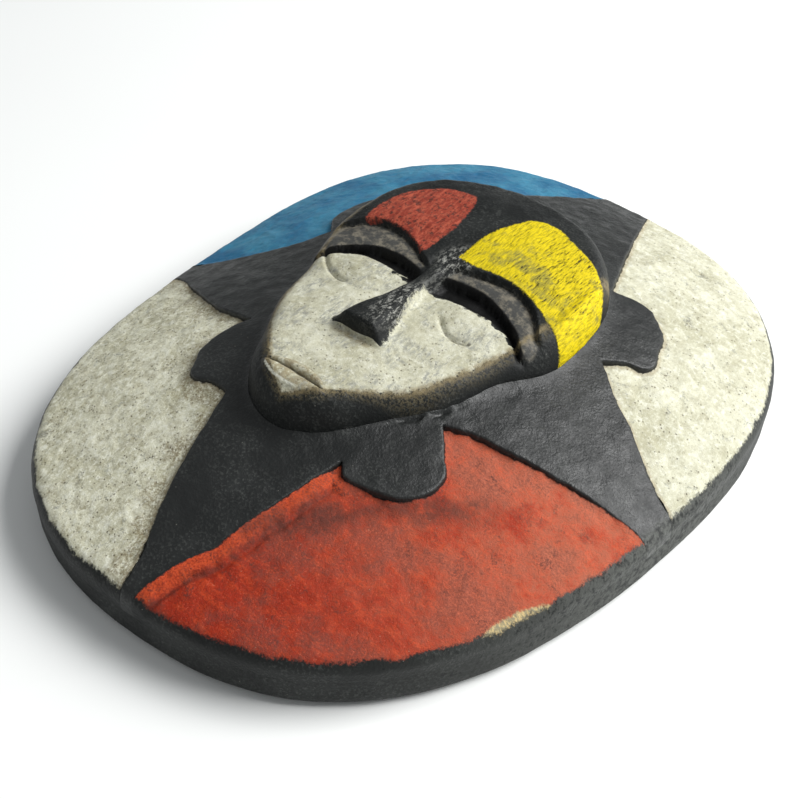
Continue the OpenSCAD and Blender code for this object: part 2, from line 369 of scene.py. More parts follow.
def face_height(p):
    """The face: brows, lids and slits, folds, nose and lips on a rounded egg with upright sides."""
    x, out, y = face_plan(p)
    brow, lid, foot = (face_line_at(line, x) for line in (BROW, LID, SLIT_FOOT))
    cheeks = FACE_TOP - 5 * (out / 54) ** 2
    over_nose = 1 - ramp(out, 2.5, 7)
    sides = 1 - ramp(out, 48, 53)
    in_eye = (1 - over_nose) * sides
    above_brow = ramp(y - brow, -0.5, 0.7)
    above_lid = ramp(y - lid, -0.5, 0.5)
    in_slit = ramp(y - foot, -2.4, 1.8) * (1 - above_lid)
    z = cheeks + 1.9 * ramp(y, 14, 40) - 3.5 * ramp(y, 50, 76)
    z += in_eye * (1.6 * above_lid + 3.2 * above_brow - 2.2 * in_slit)
    z += (1 - in_eye) * 4.6 * ramp(y, -8, 16) + 2.4 * (1 - sides) * ramp(x, 0, 10) * ramp(y, -10, 3)
    lid_middle = 0.5 * (brow + lid)
    lid_half = np.maximum(0.5 * (brow - lid), 1.5)
    z += in_eye * 0.9 * np.clip(1 - ((y - lid_middle) / lid_half) ** 2, 0, 1)
    z += in_eye * 1.6 * bump(out, y, (27, -7.5), (16, 8)) + 0.8 * bump(out, y, (28, 24), (20, 6))
    z -= 1.3 * under_eye_fold(x, out, y, 1.1)
    z -= 0.7 * bump(out, y, (10, -8), (5, 12))
    k = np.clip((NOSE_TOP - y) / (NOSE_TOP - NOSE_TIP), 0, 1)
    width = along(NOSE, y)
    nose = (1.2 + 6.0 * k**0.8) * (1 - ramp(out, width * 0.42, width + 0.3))
    nose *= ramp(y, NOSE_TIP - 2.4 - 0.8 * (out / 11) ** 2, NOSE_TIP + 0.4)
    z += nose * (1 - ramp(y, 2, 12))
    upper, parting, lower = lip_lines(x)
    z += 1.5 * swell(y, parting, upper) + 1.8 * swell(y, lower, parting)
    z -= 0.8 * bell(y - parting, 0.7) * (1 - ramp(np.abs(x - LIPS_MID), 12, 15))
    u = np.clip(distance_to(p, face_line) / 8.5, 0, 1)
    wall = (1 - (1 - u) ** 2.3) ** (1 / 2.3)
    z += 0.22 * noise(p * (1, 0.6), 6, 33) + 0.12 * rough(p, 2.5, 34)
    return dome(p) * (1 - wall) + z * wall


def warp(co):
    """Small unevenness of the whole block, the same where two pieces meet, and none where it lies flat."""
    free = ramp(co[:, 2], 0.5, 5)[:, None]
    shift = np.stack([rough(co, 14, seed, 3) for seed in (51, 61, 71)], axis=1)
    fine = np.stack([noise(co, 1.9, seed) for seed in (52, 62, 72)], axis=1)
    return co + free * (0.22 * shift + 0.06 * fine)


# ---- meshes


def packed_points(loops, step):
    """Points of a plan within its outline and outside its holes: loops close to each, then an even grid."""
    outline = loops[0]
    found = []
    for loop in loops:
        outward = -1 if loop is outline else 1
        for d in EDGE_LOOPS:
            p = offset_loop(loop, outward * d)
            found.append(p[np.minimum.reduce([distance_to(p, e) for e in loops]) > 0.93 * d])
    low, high = outline.min(0), outline.max(0)
    ys = np.arange(low[1], high[1], step * math.sqrt(3) / 2)
    grid = np.array(
        [(x, y) for k, y in enumerate(ys) for x in np.arange(low[0] + (k % 2) * step / 2, high[0], step)]
    )
    grid = grid[within(grid, loops)]
    clear = np.minimum.reduce([distance_to(grid, e) for e in loops])
    found.append(grid[clear > EDGE_LOOPS[-1] + 0.5 * step])
    p = np.vstack(found)
    return p[within(p, loops)]


def within(points, loops):
    """Whether each point lies in the first loop and in none of the others."""
    keep = inside(points, loops[0])
    for hole in loops[1:]:
        keep &= ~inside(points, hole)
    return keep


def triangles(points, loops):
    """Triangles between points inside the first loop and outside the others, and where each loop went."""
    starts = [sum(map(len, loops[:k])) for k in range(len(loops))]
    edges = [(s + i, s + (i + 1) % len(loop)) for s, loop in zip(starts, loops) for i in range(len(loop))]
    every = np.vstack([*loops, points])
    out, _, faces, origin, _, _ = delaunay_2d_cdt([Vector(p) for p in every], edges, [], 1, 1e-5)
    out = np.array([tuple(p) for p in out])
    faces = np.array(faces)
    for hole in loops[1:]:
        faces = faces[~inside(out[faces].mean(1), hole)]
    place = {source: i for i, sources in enumerate(origin) for source in sources}
    where = [np.array([place[s + i] for i in range(len(loop))]) for s, loop in zip(starts, loops)]
    return out, faces, where


class Solid:
    """Vertices and faces of one closed piece, in millimetres."""

    def __init__(self):
        self.co = np.zeros((0, 3))
        self.faces = []

    def add(self, plan, z):
        """New vertices; gives their numbers."""
        first = len(self.co)
        z = np.broadcast_to(z, (len(plan),))
        self.co = np.vstack([self.co, np.column_stack([plan, z])])
        return np.arange(first, len(self.co))

    def wall(self, loop, plan, z_from, z_to, step=WALL_STEP):
        """An upright wall from a loop of vertices to another height; gives the last ring."""
        rings = max(1, math.ceil(abs(np.mean(z_to) - np.mean(z_from)) / step))
        n = len(loop)
        for k in range(1, rings + 1):
            a, b = loop, self.add(plan, z_from + (z_to - z_from) * k / rings)
            self.faces += [(a[i], a[(i + 1) % n], b[(i + 1) % n], b[i]) for i in range(n)]
            loop = b
        return loop

    def cap(self, loop, plan):
        """A flat lid over a ring of vertices."""
        _, faces, where = triangles(np.zeros((0, 2)), [plan])
        back = {w: loop[i] for i, w in enumerate(where[0])}
        self.faces += [tuple(back[v] for v in f) for f in faces]


def make_object(name, solid, material, body, node, masks):
    """A piece of the block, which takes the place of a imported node. The masks are values over its surface."""
    mesh = bpy.data.meshes.new(name)
    mesh.from_pydata((warp(solid.co) * MM).tolist(), [], [tuple(int(v) for v in f) for f in solid.faces])
    for key, values in masks.items():
        attribute = mesh.attributes.new(key, "FLOAT", "POINT")
        attribute.data.foreach_set("value", np.asarray(values, np.float32))
    mesh.validate()
    work = bmesh.new()
    work.from_mesh(mesh)
    bmesh.ops.recalc_face_normals(work, faces=work.faces)
    work.to_mesh(mesh)
    work.free()
    shade(mesh, 55)
    mesh.materials.append(material)
    piece = bpy.data.objects.new(name, mesh)
    bpy.context.scene.collection.objects.link(piece)
    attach(piece, body)
    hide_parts(node)


def shade(mesh, sharp):
    """Smooth shading but at edges sharper than that angle."""
    mesh.polygons.foreach_set("use_smooth", [True] * len(mesh.polygons))
    mesh.set_sharp_from_angle(angle=math.radians(sharp))


def relief(outline, height, floor, step=RELIEF_STEP, hole=None, hole_floor=None):
    """A closed block: a shaped top over an outline, upright sides, a flat bottom, a blind hole if asked."""
    loops = [outline] if hole is None else [outline, hole]
    plan, faces, where = triangles(packed_points(loops, step), loops)
    z = height(plan)
    solid = Solid()
    solid.add(plan, z)
    solid.faces += [tuple(f) for f in faces]
    bottom = solid.wall(where[0], plan[where[0]], z[where[0]], floor)
    solid.cap(bottom, plan[where[0]])
    if hole is not None:
        seat = solid.wall(where[1], plan[where[1]], z[where[1]], hole_floor)
        solid.cap(seat, plan[where[1]])
    return solid


# ---- paint


class Paint:
    """A material written as arithmetic on values over the surface. Sizes are in millimetres."""

    def __init__(self, name):
        self.material = bpy.data.materials.new(name)
        self.material.use_nodes = True
        self.tree = self.material.node_tree
        self.shader = self.tree.nodes["Principled BSDF"]
        self.place = self.new("TexCoord").outputs["Object"]

    def new(self, kind, **inputs):
        """A node of that kind with those inputs."""
        node = self.tree.nodes.new("ShaderNode" + kind)
        for key, value in inputs.items():
            self.put(node.inputs[key], value)
        return node

    def put(self, socket, value):
        """Gives a socket its value: a socket, the name of one of the mesh's masks, a colour or a number."""
        if isinstance(value, str):
            node = self.new("Attribute")
            node.attribute_name = value
            value = node.outputs["Fac"]
        if isinstance(value, bpy.types.NodeSocket):
            self.tree.links.new(value, socket)
        elif socket.type == "RGBA":
            socket.default_value = (*value, 1)
        else:
            socket.default_value = value

    def math(self, operation, a, b):
        node = self.new("Math")
        node.operation = operation
        self.put(node.inputs[0], a)
        self.put(node.inputs[1], b)
        return node.outputs[0]

    def add(self, a, b):
        return self.math("ADD", a, b)

    def times(self, a, b):
        return self.math("MULTIPLY", a, b)

    def both(self, a, b):
        return self.math("MINIMUM", a, b)

    def noise(self, size, detail=3.0, roughness=0.55, stretch=(1, 1, 1), turn=0.0, warp=0.0):
        place = self.new("Mapping", Vector=self.place, Rotation=(0, 0, math.radians(turn)), Scale=stretch)
        lumps = {"Scale": 1 / (size * MM), "Detail": detail, "Roughness": roughness, "Distortion": warp}
        return self.new("TexNoise", Vector=place.outputs["Vector"], **lumps).outputs["Fac"]

    def dots(self, size, radius, rare):
        """Scattered round dots: their spacing, their radius as a share of it, and how few there are."""
        node = self.new("TexVoronoi", Vector=self.place, Scale=1 / (size * MM))
        chosen = self.ramp(node.outputs["Color"], rare, rare + 0.02)
        return self.both(self.ramp(node.outputs["Distance"], radius * 1.5, radius * 0.6), chosen)

    def ramp(self, value, low, high, out_low=0.0, out_high=1.0):
        ends = {"From Min": low, "From Max": high, "To Min": out_low, "To Max": out_high}
        node = self.new("MapRange", Value=value, **ends)
        node.interpolation_type = "SMOOTHSTEP"
        return node.outputs["Result"]

    def mix(self, share, a, b):
        # Sockets 0, 6, 7 and 2 are a Mix node's factor, its two colours and its colour result
        node = self.new("Mix")
        node.data_type = "RGBA"
        self.put(node.inputs[0], share)
        self.put(node.inputs[6], a)
        self.put(node.inputs[7], b)
        return node.outputs[2]

    def tint(self, colour, share, strength, other):
        """The colour with another laid over it by a share of that strength."""
        return self.mix(self.times(share, strength), colour, other)

    def finish(self, colour, roughness, height=None, depth=PAINT_BUMP, strength=1.0, specular=0.5):
        self.put(self.shader.inputs["Base Color"], colour)
        self.put(self.shader.inputs["Roughness"], roughness)
        self.shader.inputs["Specular IOR Level"].default_value = specular
        if height is not None:
            bump = self.new("Bump", Strength=strength, Distance=depth * MM, Height=height)
            self.put(self.shader.inputs["Normal"], bump.outputs["Normal"])
        return self.material


BLACK, BLACK_WORN, BLACK_CLOUDY = (0.0100, 0.0112, 0.0108), (0.072, 0.076, 0.070), (0.036, 0.039, 0.037)
BLACK_LIT_EDGE, DUST, SLIT = (0.125, 0.130, 0.118), (0.30, 0.29, 0.25), (0.006, 0.006, 0.006)
CREAM, CREAM_DEEP, CREAM_WHITE = (0.66, 0.65, 0.50), (0.49, 0.475, 0.335), (0.80, 0.80, 0.68)
CREAM_GREYED, SAND, SEAM_SAND = (0.27, 0.26, 0.19), (0.29, 0.26, 0.165), (0.36, 0.30, 0.19)
EARTH, BROWN, SCUFF = (0.11, 0.09, 0.055), (0.19, 0.150, 0.080), (0.16, 0.165, 0.155)
RED, RED_LIGHT, RED_SHEEN_DUST = (0.36, 0.022, 0.004), (0.56, 0.056, 0.012), (0.72, 0.235, 0.125)
RED_DEEP, RED_PINK, RED_HAZE = (0.17, 0.035, 0.020), (0.80, 0.28, 0.17), (0.20, 0.058, 0.040)
RED_LEDGE_HIGHLIGHT, RED_STAIN_AND_SHADE, RED_SCUFF = (0.62, 0.085, 0.022), (0.085, 0.028, 0.020), (0.10, 0.035, 0.026)
RED_DUST, TEMPLE_RED, TEMPLE_RED_LIGHT = (0.50, 0.36, 0.24), (0.25, 0.038, 0.022), (0.42, 0.090, 0.050)
BLUE, BLUE_DARK, BLUE_LIGHT = (0.016, 0.118, 0.235), (0.010, 0.065, 0.135), (0.046, 0.215, 0.335)
YELLOW, YELLOW_DARK, OLIVE = (0.77, 0.60, 0.002), (0.48, 0.38, 0.002), (0.23, 0.21, 0.045)
LID_DARK, LID_LIGHT, TAN = (0.062, 0.062, 0.058), (0.20, 0.18, 0.14), (0.24, 0.19, 0.10)
JAW_RUB, BRIDGE_RUB_AND_LIGHT = (0.20, 0.165, 0.09), (0.42, 0.42, 0.38)
SMEAR, FOLD_SHADE = (0.25, 0.255, 0.235), (0.07, 0.06, 0.04)
BARE_WOOD = (0.66, 0.50, 0.24)
BOARD, BOARD_DARK = (0.30, 0.19, 0.10), (0.17, 0.095, 0.05)
BOARD_FIBRE, BOARD_SMUDGE = (0.09, 0.05, 0.03), (0.09, 0.08, 0.07)
DOWEL, DOWEL_DARK = (0.62, 0.46, 0.26), (0.44, 0.30, 0.15)
PAPER = (0.92, 0.93, 0.915)


def black_coat(paint):
    """Colour and height of satin black paint over fine grain, worn grey in patches."""
    grain = paint.noise(1.0, 3, 0.60)
    lumps = paint.noise(3.6, 3, 0.55)
    cloud = paint.noise(22, 4, 0.65)
    worn = paint.both(paint.ramp(grain, 0.50, 0.74), paint.ramp(cloud, 0.38, 0.70))
    colour = paint.tint(BLACK, worn, 0.8, BLACK_WORN)
    colour = paint.tint(colour, paint.ramp(cloud, 0.45, 0.75), 0.4, BLACK_CLOUDY)
    colour = paint.tint(colour, paint.dots(3.1, 0.045, 0.60), 0.6, DUST)
    height = paint.add(paint.times(grain, 0.8), paint.times(lumps, 0.22))
    return colour, height


def rim_black(paint):
    """The black of the block's edge, with painted light in grey patches at its right edge, where the key light
    falls.
    """
    colour, height = black_coat(paint)
    # Painted light: grey patches over the black at the right edge, standing in for the key light falling there
    lit_patches = paint.both("lit_edge", paint.ramp(paint.noise(2.2, 5, 0.75), 0.36, 0.60))
    return paint.tint(colour, lit_patches, 0.7, BLACK_LIT_EDGE), height


def feathered(paint, mask, reach, coarse, fine, sharp=0.45):
    """Share of a coat inside its edge, which is ragged by a coarse noise and dry-brushed by a fine one."""
    wave = paint.times(paint.add(paint.noise(8, 2), -0.5), coarse)
    brush = paint.times(paint.add(paint.noise(1.2, 4, 0.72), -0.5), fine)
    inside_by = paint.add(paint.add(mask, -reach), paint.add(wave, brush))
    return paint.ramp(inside_by, -sharp, sharp)


def cream_coat(paint, sandy):
    """Worn cream paint: mottled, stained, scuffed grey and speckled, and darker where it is sandy."""
    cloud = paint.noise(19, 4, 0.62)
    patch = paint.noise(5.5, 5, 0.7)
    mottle = paint.noise(3.0, 6, 0.84)
    fine = paint.noise(0.7, 4, 0.75)
    dab = paint.noise(1.5, 5, 0.76, stretch=(1.5, 0.6, 1), turn=24)
    colour = paint.mix(paint.ramp(cloud, 0.36, 0.70), CREAM, CREAM_DEEP)
    colour = paint.tint(colour, paint.ramp(mottle, 0.50, 0.62), 0.75, CREAM_WHITE)
    colour = paint.tint(colour, paint.ramp(mottle, 0.48, 0.37), 0.40 + 0.35 * sandy, SAND)
    colour = paint.tint(colour, paint.ramp(dab, 0.54, 0.60), 0.35 + 0.45 * sandy, CREAM_WHITE)
    stain = paint.both(paint.ramp(patch, 0.50 - 0.03 * sandy, 0.64), paint.ramp(fine, 0.40, 0.58))
    colour = paint.tint(colour, stain, 0.35 + 0.25 * sandy, SAND)
    rub = paint.noise(7, 5, 0.75, warp=0.8)
    scuff = paint.both(paint.ramp(rub, 0.58, 0.66), paint.ramp(fine, 0.40, 0.55))
    colour = paint.tint(colour, scuff, 0.62, SCUFF)
    speck = paint.dots(1.5, 0.20, 0.42 - 0.1 * sandy)
    speck = paint.both(speck, paint.ramp(patch, 0.46 - 0.06 * sandy, 0.56))
    colour = paint.tint(colour, speck, 0.8, EARTH)
    relief = paint.add(paint.times(mottle, 1.2), paint.times(dab, 0.6))
    height = paint.add(relief, paint.add(paint.times(fine, 0.4), paint.times(speck, -0.5)))
    return colour, height


def panel_cream(paint, sandy):
    """The cream of a panel, browned in patches along the star where the wood shows through."""
    colour, height = cream_coat(paint, sandy)
    gap = paint.add("seam", paint.times(paint.add(paint.noise(13, 4, 0.7), -0.5), 40))
    grain = paint.noise(1.0, 5, 0.78)
    brown = paint.both(paint.ramp(gap, 9, 1), paint.ramp(grain, 0.42, 0.58))
    colour = paint.tint(colour, brown, 0.2 + 0.6 * sandy, BROWN)
    edge = paint.both(paint.ramp("seam", 1.9, 0.8), paint.ramp(grain, 0.34, 0.50))
    return paint.tint(colour, edge, 0.6, SEAM_SAND), height


def red_coat(paint):
    """Scuffed orange red, hazy and stained at its top, with painted light: paler towards the right arm as
    painted sheen over pale dust, a painted highlight on its ledge and painted shade in the groove at the
    ledge's foot.
    """
    cloud = paint.noise(20, 5, 0.70)
    brush = paint.noise(3.4, 4, 0.68, stretch=(0.5, 1.3, 1), turn=28)
    fine = paint.noise(0.8, 5, 0.75)
    colour = paint.tint(RED, paint.ramp(brush, 0.44, 0.66), 0.7, RED_LIGHT)
    mottle = paint.add(paint.times(cloud, 0.6), paint.times(fine, 0.4))
    # Painted sheen over pale dust: the red pales in patches towards the right arm, where the key light glances
    pale = paint.times("sheen_and_dust", paint.ramp(mottle, 0.34, 0.60))
    colour = paint.tint(colour, pale, 0.85, RED_SHEEN_DUST)
    colour = paint.tint(colour, paint.ramp(fine, 0.46, 0.60), 0.38, RED_DEEP)
    colour = paint.tint(colour, paint.ramp(fine, 0.44, 0.34), 0.30, RED_PINK)
    haze = paint.times(paint.ramp(cloud, 0.44, 0.60), paint.ramp(fine, 0.22, 0.62))
    colour = paint.tint(colour, haze, 0.65, RED_HAZE)
    # Painted highlight: the ledge along the chin arm is lightened as if lit
    colour = paint.tint(colour, "ledge", paint.ramp(fine, 0.62, 0.42, 0.1, 0.8), RED_LEDGE_HIGHLIGHT)
    # Darkened where the stain mask is: a stain in the haze band, painted shade in the groove at the ledge's
    # foot
    dark = paint.ramp("stain", 0.0, 1.0)
    dark = paint.times(dark, paint.ramp(paint.noise(5, 5, 0.72), 0.22, 0.62))
    colour = paint.tint(colour, dark, 0.8, RED_STAIN_AND_SHADE)
    rub = paint.noise(9, 5, 0.75, warp=0.6)
    rubbed = paint.both(paint.ramp(rub, 0.55, 0.66), paint.ramp(fine, 0.44, 0.58))
    colour = paint.tint(colour, rubbed, 0.6, RED_SCUFF)
    colour = paint.tint(colour, paint.dots(3.0, 0.05, 0.60), 0.5, RED_DUST)
    bare = feathered(paint, "chip", 0.0, 1.5, 2.0)
    fibre = paint.noise(1.2, 4, 0.7, stretch=(0.4, 1.4, 1), turn=25)
    colour = paint.mix(bare, colour, paint.mix(paint.ramp(fibre, 0.4, 0.6), BARE_WOOD, SAND))
    return colour, paint.add(paint.times(fine, 1.6), paint.times(brush, 0.3))


def blue_coat(paint):
    """Cloudy blue, brushed across."""
    brush = paint.noise(2.6, 5, 0.7, stretch=(1.2, 0.5, 1), turn=-35)
    cloud = paint.noise(26, 4, 0.6)
    colour = paint.mix(paint.ramp(cloud, 0.34, 0.62), BLUE, BLUE_LIGHT)
    colour = paint.tint(colour, paint.ramp(brush, 0.48, 0.70), 0.35, BLUE_DARK)
    return colour, paint.add(brush, paint.times(paint.noise(0.9, 4, 0.7), 0.6))


def panel_paint(name, coat, *options):
    """A panel's coat, with the rim's black feathered in over it and a dark seam at the star."""
    paint = Paint(name)
    colour, height = coat(paint, *options)
    black, black_height = rim_black(paint)
    share = feathered(paint, "rim", PAINT_INSET, 3.0, 3.2, 0.55)
    colour = paint.mix(share, black, colour)
    ragged = paint.times(paint.add(paint.noise(1.5, 3, 0.65), -0.5), 1.6)
    seam = paint.ramp(paint.add("seam", ragged), 0.45, 0.0)
    colour = paint.tint(colour, seam, 0.9, BLACK)
    shine = paint.ramp(share, 0.0, 1.0, 0.50, 0.58)
    return paint.finish(colour, shine, paint.mix(share, black_height, height), specular=0.20)


def star_paint():
    """The star and the block's edge: satin black all over."""
    paint = Paint("black_star")
    colour, height = rim_black(paint)
    shine = paint.ramp(paint.noise(6, 4, 0.65), 0.3, 0.7, 0.38, 0.54)
    return paint.finish(colour, shine, height, specular=0.40)


def face_paint():
    """Cream face, black jaw, nose and lids, a red and a yellow temple, all brushed on by hand."""
    paint = Paint("painted_face")
    black, black_height = black_coat(paint)
    cream, cream_height = cream_coat(paint, 0.0)
    cream = paint.mix(0.16, cream, CREAM_GREYED)
    fine = paint.noise(0.9, 5, 0.75)

    # The black, rubbed through along the jaw, worn grey on the nose's bridge and there also painted light, and
    # greyer on the lids
    near_jaw = paint.both(paint.ramp("jaw", -4.5, -0.5), paint.ramp("jaw", 2.5, 1.0))
    colour = paint.tint(black, paint.both(near_jaw, paint.ramp(fine, 0.46, 0.60)), 0.6, JAW_RUB)
    hatch = paint.noise(1.3, 5, 0.8, stretch=(1, 0.4, 1), turn=25)
    # Wear on the nose's bridge, partly painted light: the nose greyed where the key light falls on it
    bridge_wear_and_light = paint.both(paint.ramp("rubbed", 0.15, 0.8), paint.ramp(hatch, 0.50, 0.60))
    colour = paint.tint(colour, bridge_wear_and_light, 0.7, BRIDGE_RUB_AND_LIGHT)
    lid = feathered(paint, "lid", 0.8, 1.0, 2.0, 0.9)
    lid_tone = paint.mix(paint.ramp(paint.noise(4, 5, 0.72), 0.42, 0.62), LID_DARK, LID_LIGHT)
    colour = paint.tint(colour, lid, 0.9, lid_tone)

    # The cream, smeared, tanned at its edge and on the lips, with painted shade in the folds and lip cuts and a
    # painted highlight along the lower lip
    face = feathered(paint, "cream", 0.0, 2.0, 4.0)
    colour = paint.mix(face, colour, cream)
    slit = feathered(paint, "slit", 0.4, 0.0, 1.0)
    colour = paint.tint(colour, slit, paint.add(paint.times(face, -1), 1), SLIT)
    drag = paint.noise(1.8, 5, 0.76, stretch=(1.5, 0.45, 1), turn=58)
    rub = paint.noise(14, 4, 0.7, warp=0.7)
    smear = paint.both(paint.ramp(rub, 0.48, 0.60), paint.ramp(drag, 0.44, 0.58))
    colour = paint.tint(colour, paint.both(smear, face), 0.7, SMEAR)
    tan = paint.both(paint.ramp("tan", 0.1, 0.9), paint.ramp(paint.noise(2.4, 5, 0.75), 0.36, 0.58))
    colour = paint.tint(colour, tan, 0.75, TAN)
    # Painted highlight: a pale line along the lower lip's edge
    colour = paint.tint(colour, paint.ramp("light", 0.3, 0.8), 0.8, CREAM_WHITE)
    # Painted shade: the folds under the eyes and the lip cuts darkened
    colour = paint.tint(colour, paint.ramp("line", 0.2, 0.8), 0.75, FOLD_SHADE)

    # The temples
    brush = paint.noise(1.3, 5, 0.72, stretch=(1.0, 0.3, 1), turn=-20)
    red = paint.mix(paint.ramp(brush, 0.42, 0.62), TEMPLE_RED, TEMPLE_RED_LIGHT)
    worn_red = paint.ramp(paint.noise(2.2, 5, 0.8), 0.60, 0.52)
    left_on = paint.add(paint.times(worn_red, 0.75), 0.25)
    colour = paint.mix(paint.both(feathered(paint, "red", 0.3, 1.2, 2.6), left_on), colour, red)
    streak = paint.noise(1.0, 5, 0.72, stretch=(1.5, 0.28, 1), turn=-38)
    tone = paint.mix(paint.ramp(streak, 0.42, 0.56), YELLOW_DARK, YELLOW)
    dull_patch = paint.ramp(paint.add(paint.noise(8, 4, 0.65), "dull"), 0.44, 0.62)
    tone = paint.tint(tone, paint.both(dull_patch, paint.ramp(streak, 0.66, 0.50)), 0.75, OLIVE)
    bare = paint.ramp(paint.add(streak, paint.times("worn", -0.05)), 0.32, 0.38)
    share = paint.times(feathered(paint, "yellow", 0.2, 1.4, 2.4), bare)
    colour = paint.mix(share, colour, tone)

    height = paint.mix(face, black_height, cream_height)
    height = paint.mix(share, height, paint.add(paint.times(streak, 1.6), 0.5))
    shine = paint.ramp(fine, 0.3, 0.7, 0.42, 0.66)
    return paint.finish(colour, shine, height, specular=0.18)


def bare_board():
    """Brown sawn wood on the back, black where the edge's paint ran under it."""
    paint = Paint("bare_board")
    ring = paint.noise(9, 3, 0.6, stretch=(1.3, 0.07, 1), warp=0.4)
    fibre = paint.noise(0.9, 3, 0.6, stretch=(1.6, 0.06, 1))
    colour = paint.mix(paint.ramp(ring, 0.35, 0.68), BOARD, BOARD_DARK)
    colour = paint.tint(colour, paint.ramp(fibre, 0.5, 0.75), 0.6, BOARD_FIBRE)
    colour = paint.tint(colour, paint.ramp(paint.noise(40, 4, 0.6), 0.52, 0.72), 0.35, BOARD_SMUDGE)
    black, black_height = rim_black(paint)
    ragged = paint.times(paint.noise(7, 5, 0.65), 11)
    share = paint.ramp(paint.add("rim", paint.times(ragged, -1)), 0.5, 2.0)
    colour = paint.mix(share, black, colour)
    height = paint.mix(share, black_height, fibre)
    dullness = paint.ramp(fibre, 0.3, 0.7, 0.55, 0.75)
    return paint.finish(colour, dullness, height, depth=0.2, strength=0.8, specular=0.26)


def dowel_wood():
    """Pale turned wood, its fibres along the dowel."""
    paint = Paint("dowel_wood")
    fibre = paint.noise(0.8, 3, 0.6, stretch=(1, 1, 0.08))
    colour = paint.mix(paint.ramp(fibre, 0.4, 0.7), DOWEL, DOWEL_DARK)
    return paint.finish(colour, 0.6, fibre, depth=0.1)


def plated_steel(name, tone):
    """Zinc plate, cloudy and a little rubbed."""
    paint = Paint(name)
    cloud = paint.noise(3.5, 4, 0.6)
    scratch = paint.noise(0.5, 3, 0.6, stretch=(0.15, 1.5, 1))
    dull = tuple(0.6 * v for v in tone)
    colour = paint.mix(paint.ramp(cloud, 0.38, 0.68), tone, dull)
    paint.shader.inputs["Metallic"].default_value = 1.0
    return paint.finish(colour, paint.ramp(cloud, 0.3, 0.7, 0.28, 0.5), scratch, depth=0.03, strength=0.5)


# ---- the block


def star_edges():
    """The star's edge along each panel, in three stretches that meet at sharp corners."""
    stretches = [
        [on_rim(RIGHT_ARM[1]), (106.5, -7), (98, -1.5), (88, 5.5), (77, 12), (65, 22)],
        [
            (65, 22), (70.5, 27.5), (77, 32), (79, 38), (76, 46), (73.5, 54), (68.5, 59), (63, 63),
            (56, 63.5), (46, 59.5),
        ],
        [(46, 59.5), (38, 81), (31.5, 99.5), (24.5, 119.5), on_rim(CROWN_ARM[0])],
        [on_rim(CROWN_ARM[1]), (-12, 130), (-19, 117), (-33, 91), (-45, 60)],
        [(-45, 60), (-55, 64), (-66, 63), (-73, 54), (-76, 44), (-75, 31), (-66, 19)],
        [(-66, 19), (-73, 6), (-86, -6), (-99, -14), on_rim(LEFT_ARM[0])],
        [on_rim(LEFT_ARM[1]), (-105, -31), (-88, -38), (-72, -44), (-60, -46.5), (-47, -46.5)],
        [
            (-47, -46.5), (-50.5, -53.5), (-52, -67), (-49, -73.5), (-45.5, -79.5), (-40.5, -81), (-34, -79),
            (-27, -79.5),
        ],
        [
            (-27, -79.5), (-23, -92), (-19, -105.5), (-15.5, -116), (-10.5, -128.5), (-4.5, -140.5),
            on_rim(CHIN_ARM[0]),
        ],
        [on_rim(CHIN_ARM[1]), (9.5, -137), (15.3, -124.5), (18.7, -109.5), (22.5, -94.5), (27, -79)],
        [
            (27, -79), (31, -82.5), (36.5, -82), (42.5, -80.5), (50.5, -77), (56, -70.5), (56.5, -61),
            (51, -54), (43.5, -45.5),
        ],
        [(43.5, -45.5), (54.5, -40.5), (69, -37), (82.5, -33), (96, -29.5), on_rim(RIGHT_ARM[0])],
    ]
    cut = [ragged(line_through(points)) for points in stretches]
    return {panel: np.vstack(cut[3 * k : 3 * k + 3]) for k, panel in enumerate(PANELS)}


def ragged(line):
    """The line with small cuts and chips along it, and none at its ends."""
    walked = np.concatenate([[0], np.cumsum(np.linalg.norm(np.diff(line, axis=0), axis=1))])
    free = ramp(np.minimum(walked, walked[-1] - walked), 0.5, 5)[:, None]
    cuts = np.stack([rough(line, 6, seed, 3) + 0.6 * noise(line, 1.7, seed + 5) for seed in (91, 95)], axis=1)
    return line + 0.2 * free * cuts


def build_board():
    """The block's lower half, with its rounded foot and the hanger's pocket in the flat back."""
    pocket = pocket_outline()
    loops = [rim_line, pocket]
    plan, faces, where = triangles(packed_points(loops, BACK_STEP), loops)
    solid = Solid()
    solid.add(plan, rounding(distance_to(plan, rim_line), FOOT_ROUND))
    solid.faces += [tuple(f) for f in faces]
    top = solid.wall(where[0], plan[where[0]], FOOT_ROUND, BOARD_TOP)
    solid.cap(top, plan[where[0]])
    roof = solid.wall(where[1], plan[where[1]], 0.0, POCKET_ROOF, 2.0)
    solid.cap(roof, plan[where[1]])
    p = solid.co[:, :2]
    rim = np.where(solid.co[:, 2] < FOOT_ROUND - 0.01, distance_to(p, rim_line), 0)
    rim[inside(p, pocket) | (distance_to(p, pocket) < 0.01)] = 60  # far from the rim's black
    masks = {"rim": rim, "lit_edge": lit_edge(p)}
    make_object("carved_board", solid, bare_board(), "plaque", "base_board", masks)


def lit_edge(p):
    """Where the block's edge gets its painted light in grey patches: at its right, round the right arm's end.
    """
    angle = np.degrees(np.arctan2(p[:, 1], p[:, 0]))
    return swelling(angle, -8, 30) * ramp(distance_to(p, rim_line), 4.5, 1.5)


def pocket_outline():
    """The outline of the hanger's pocket, with round corners."""
    x, y, r, mid = POCKET_HALF[0], POCKET_HALF[1], POCKET_CORNER, POCKET_MID_Y
    loop = []
    for k, (cx, cy) in enumerate([(x - r, y - r), (r - x, y - r), (r - x, r - y), (x - r, r - y)]):
        t = np.radians(90 * k + np.linspace(0, 90, 9))
        loop.append(np.stack([cx + r * np.cos(t), mid + cy + r * np.sin(t)], axis=1))
    return np.vstack(loop)


